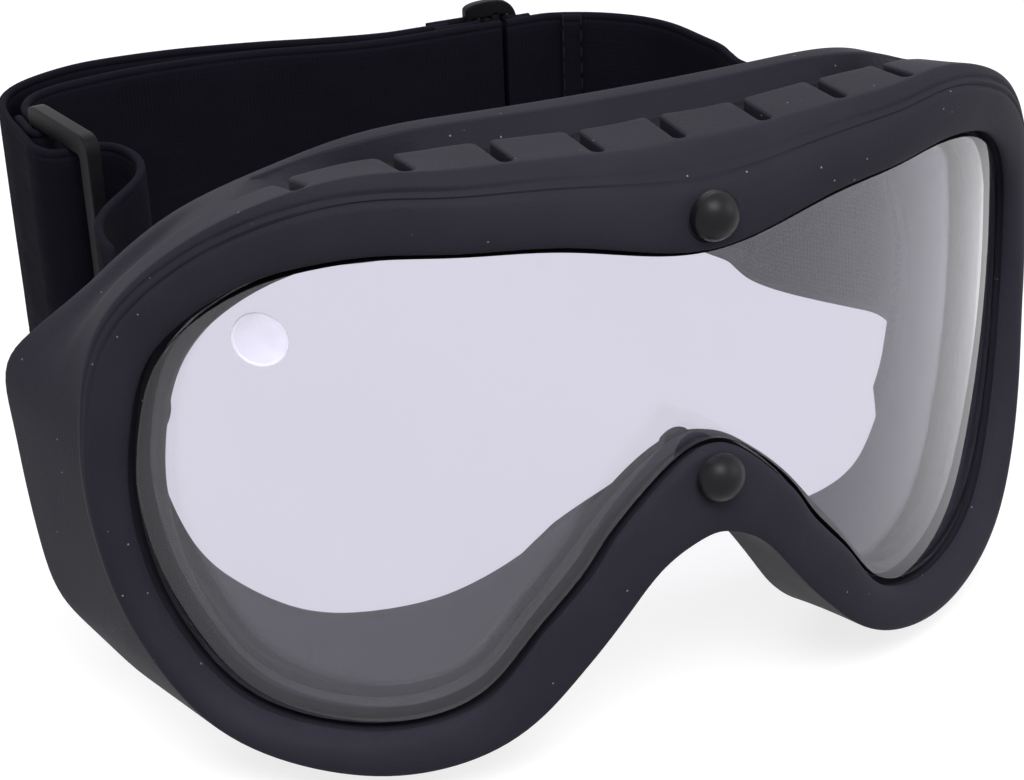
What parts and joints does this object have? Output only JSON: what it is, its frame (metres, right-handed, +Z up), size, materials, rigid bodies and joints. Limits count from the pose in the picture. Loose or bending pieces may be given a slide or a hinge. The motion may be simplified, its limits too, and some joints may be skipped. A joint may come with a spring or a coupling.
{
  "type": "safety goggles",
  "caption": "Impact goggles with a curved double lens in a moulded vented rubber frame, a face cushion and a wide elastic strap with two slides.",
  "frame": {"origin": "middle of the lens opening, on the curved front of the rim's lip, at the wearer's midline", "axes": "+X to the right of someone facing the lens (the wearer's left), +Y backwards to the wearer's head, +Z up"},
  "size_m": [0.1758, 0.1627, 0.0991],
  "materials": {
    "rubber": "matte moulded soft rubber with a fine grain",
    "clear_lens": "clear, polished, faint lavender tint",
    "gasket": "translucent grey foam strip between the lenses",
    "breather": "milky white film",
    "stud": "satin black, polished domes",
    "foam": "open soft foam, matte",
    "bar": "satin black",
    "elastic": "fine knitted elastic, near black",
    "slide": "matte black with soft highlights"
  },
  "bodies": {
    "frame": {"frame_shell": "rubber", "lens_outer": "clear_lens", "lens_gasket": "gasket", "lens_inner": "clear_lens", "breather_disc": "breather", "stud_top": "stud", "stud_bottom": "stud", "stud_cap_top": "stud", "stud_cap_bottom": "stud", "roof_filter": "foam", "face_cushion": "foam", "anchor_bar_left": "bar", "anchor_bar_right": "bar", "strap_end_left": "elastic", "strap_end_right": "elastic"},
    "strap": {"strap_outer_layer": "elastic", "strap_inner_layer": "elastic", "strap_right": "elastic", "strap_seam": "elastic"},
    "side_slide": {"side_slide": "slide", "side_slide_tab": "elastic"},
    "back_slide": {"back_slide": "slide", "back_slide_tab": "elastic", "strap_weave": "elastic"}
  },
  "joints": [
    {"name": "strap_tilt", "type": "hinge", "parent": "frame", "child": "strap", "pos_m": [0, 0.0695, 0], "axis": [1, 0, 0], "range_deg": [-15, 15]},
    {"name": "side_slide_run", "type": "slide", "parent": "strap", "child": "side_slide", "axis": [0, 1, 0], "range_m": [-0.004, 0.002]},
    {"name": "back_slide_run", "type": "slide", "parent": "strap", "child": "back_slide", "axis": [1, 0, 0], "range_m": [-0.003, 0.003]}
  ]
}
